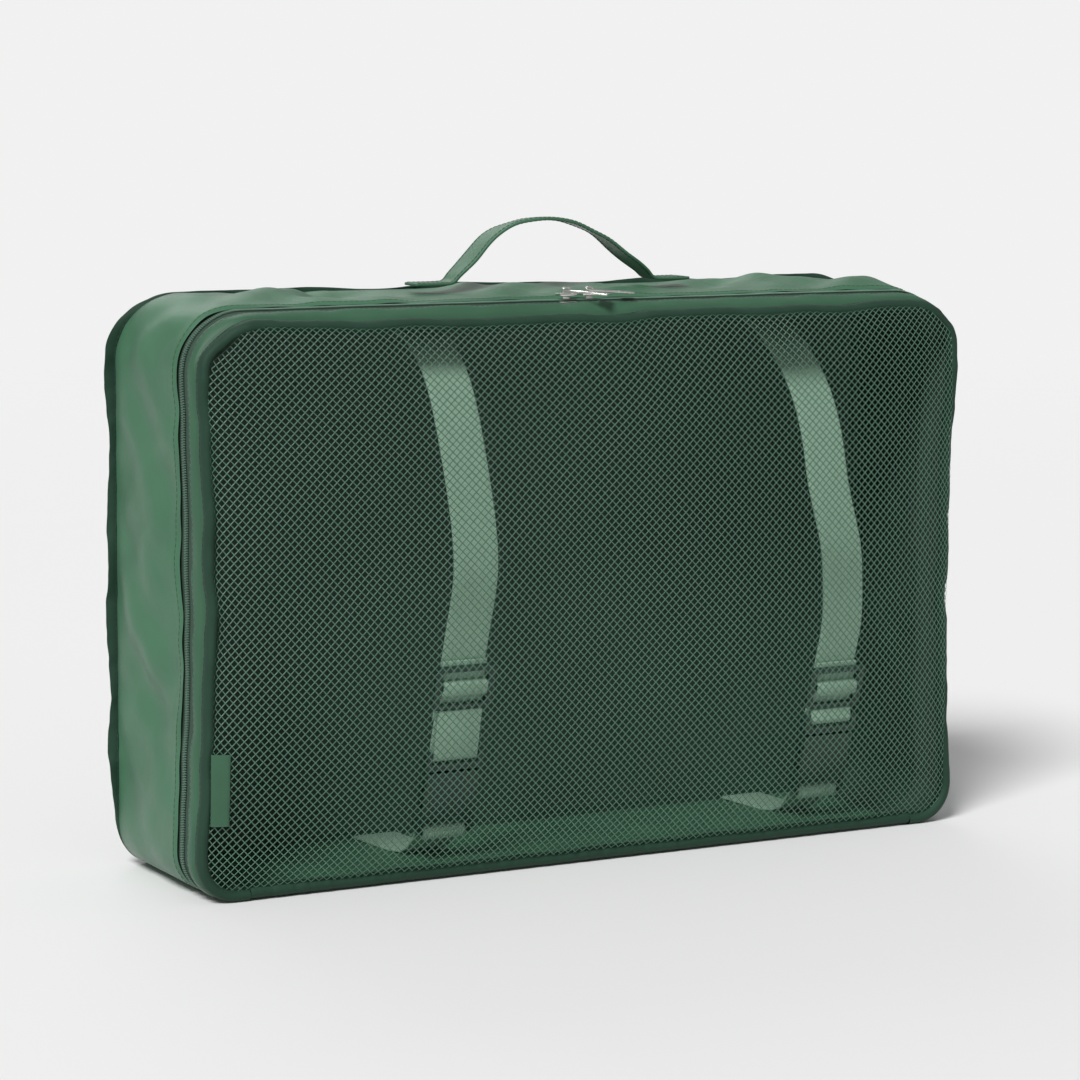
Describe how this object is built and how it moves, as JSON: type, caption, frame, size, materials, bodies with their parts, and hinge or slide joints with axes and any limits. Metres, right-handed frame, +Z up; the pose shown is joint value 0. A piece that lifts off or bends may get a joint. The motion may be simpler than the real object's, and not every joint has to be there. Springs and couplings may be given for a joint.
{
  "type": "laundry bag",
  "caption": "Rectangular zipped laundry bag with a netting lid, satin fabric walls, a carry loop and two buckled inner straps.",
  "frame": {"origin": "centre of the bag's footprint, on the surface that it stands on", "axes": "+X to the right along the width, -Y towards the netting lid, +Z up"},
  "size_m": [0.46, 0.129, 0.3318],
  "materials": {
    "satin_nylon": "satin woven nylon, mid green",
    "bound_seam": "folded binding tape, dark green",
    "netting": "knitted polyester netting, dark green thread",
    "webbing": "flat woven webbing, mid green",
    "zip_tape": "twill zip tape, dark green",
    "zip_coil": "moulded nylon coil, dark green",
    "label": "blank woven tab, mid green",
    "buckle_plastic": "moulded acetal, dark green",
    "slider_metal": "bright plated die cast"
  },
  "bodies": {
    "tray": {"back_panel": "satin_nylon", "side_gusset": "satin_nylon", "bottom_gusset": "satin_nylon", "back_binding": "bound_seam", "hinge_binding": "bound_seam", "zip_tape_tray": "zip_tape", "zip_coil_tray": "zip_coil", "zip_stop_left": "zip_coil", "zip_stop_right": "zip_coil", "handle_foot_left": "satin_nylon", "handle_foot_right": "satin_nylon", "strap_left": "webbing", "strap_right": "webbing", "lower_webbing_left": "webbing", "lower_webbing_right": "webbing", "buckle_housing_left": "buckle_plastic", "buckle_housing_right": "buckle_plastic"},
    "lid": {"mesh_panel": "netting", "front_binding": "bound_seam", "lid_strip": "satin_nylon", "zip_tape_lid": "zip_tape", "zip_coil_lid": "zip_coil", "blank_label": "label"},
    "zip_slider_left": {"slider_left": "slider_metal"},
    "zip_slider_right": {"slider_right": "slider_metal"},
    "tab_left": {"pull_tab_left": "slider_metal"},
    "tab_right": {"pull_tab_right": "slider_metal"},
    "handle": {"handle_strap": "satin_nylon"},
    "plug_left": {"buckle_plug_left": "buckle_plastic", "strap_band_left": "webbing"},
    "arm_left_a": {"buckle_arm_left_a": "buckle_plastic"},
    "arm_left_b": {"buckle_arm_left_b": "buckle_plastic"},
    "adjuster_left": {"adjuster_frame_left": "buckle_plastic", "adjuster_webbing_left": "webbing"},
    "plug_right": {"buckle_plug_right": "buckle_plastic", "strap_band_right": "webbing"},
    "arm_right_a": {"buckle_arm_right_a": "buckle_plastic"},
    "arm_right_b": {"buckle_arm_right_b": "buckle_plastic"},
    "adjuster_right": {"adjuster_frame_right": "buckle_plastic", "adjuster_webbing_right": "webbing"}
  },
  "joints": [
    {"name": "lid_hinge", "type": "hinge", "parent": "tray", "child": "lid", "pos_m": [0, -0.04, 0.004], "axis": [1, 0, 0], "range_deg": [0, 90]},
    {"name": "zip_slider_left_travel", "type": "slide", "parent": "tray", "child": "zip_slider_left", "axis": [-1, 0, 0], "range_m": [0, 0.165]},
    {"name": "pull_tab_left_hinge", "type": "hinge", "parent": "zip_slider_left", "child": "tab_left", "pos_m": [-0.0095, -0.022, 0.2959], "axis": [-0.7071, -0.7071, 0], "range_deg": [0, 150]},
    {"name": "zip_slider_right_travel", "type": "slide", "parent": "tray", "child": "zip_slider_right", "axis": [1, 0, 0], "range_m": [0, 0.165]},
    {"name": "pull_tab_right_hinge", "type": "hinge", "parent": "zip_slider_right", "child": "tab_right", "pos_m": [0.004, -0.022, 0.2959], "axis": [-0.342, -0.9397, 0], "range_deg": [0, 150]},
    {"name": "handle_hinge", "type": "hinge", "parent": "tray", "child": "handle", "pos_m": [0.005, 0.022, 0.299], "axis": [1, 0, 0], "range_deg": [-60, 60], "stiffness_Nm_per_rad": 0.01},
    {"name": "buckle_left_release", "type": "slide", "parent": "tray", "child": "plug_left", "axis": [0, -0.2936, 0.9559], "range_m": [0, 0.024]},
    {"name": "buckle_left_arm_a", "type": "hinge", "parent": "plug_left", "child": "arm_left_a", "pos_m": [-0.0853, -0.02032, 0.05239], "axis": [0, -0.9559, -0.2936], "range_deg": [0, 16]},
    {"name": "buckle_left_arm_b", "type": "hinge", "parent": "plug_left", "child": "arm_left_b", "pos_m": [-0.0627, -0.02032, 0.05239], "axis": [0, 0.9559, 0.2936], "range_deg": [0, 16]},
    {"name": "adjuster_left_slide", "type": "slide", "parent": "plug_left", "child": "adjuster_left", "axis": [0, -0.2936, 0.9559], "range_m": [0, 0.03]},
    {"name": "buckle_right_release", "type": "slide", "parent": "tray", "child": "plug_right", "axis": [0, -0.2936, 0.9559], "range_m": [0, 0.024]},
    {"name": "buckle_right_arm_a", "type": "hinge", "parent": "plug_right", "child": "arm_right_a", "pos_m": [0.1447, -0.02032, 0.05239], "axis": [0, -0.9559, -0.2936], "range_deg": [0, 16]},
    {"name": "buckle_right_arm_b", "type": "hinge", "parent": "plug_right", "child": "arm_right_b", "pos_m": [0.1673, -0.02032, 0.05239], "axis": [0, 0.9559, 0.2936], "range_deg": [0, 16]},
    {"name": "adjuster_right_slide", "type": "slide", "parent": "plug_right", "child": "adjuster_right", "axis": [0, -0.2936, 0.9559], "range_m": [0, 0.03]}
  ],
  "couplings": [
    {"joint": "buckle_left_arm_a", "follows": "buckle_left_release", "rad_per_m": 11.4},
    {"joint": "buckle_left_arm_b", "follows": "buckle_left_release", "rad_per_m": 11.4},
    {"joint": "buckle_right_arm_a", "follows": "buckle_right_release", "rad_per_m": 11.4},
    {"joint": "buckle_right_arm_b", "follows": "buckle_right_release", "rad_per_m": 11.4}
  ]
}
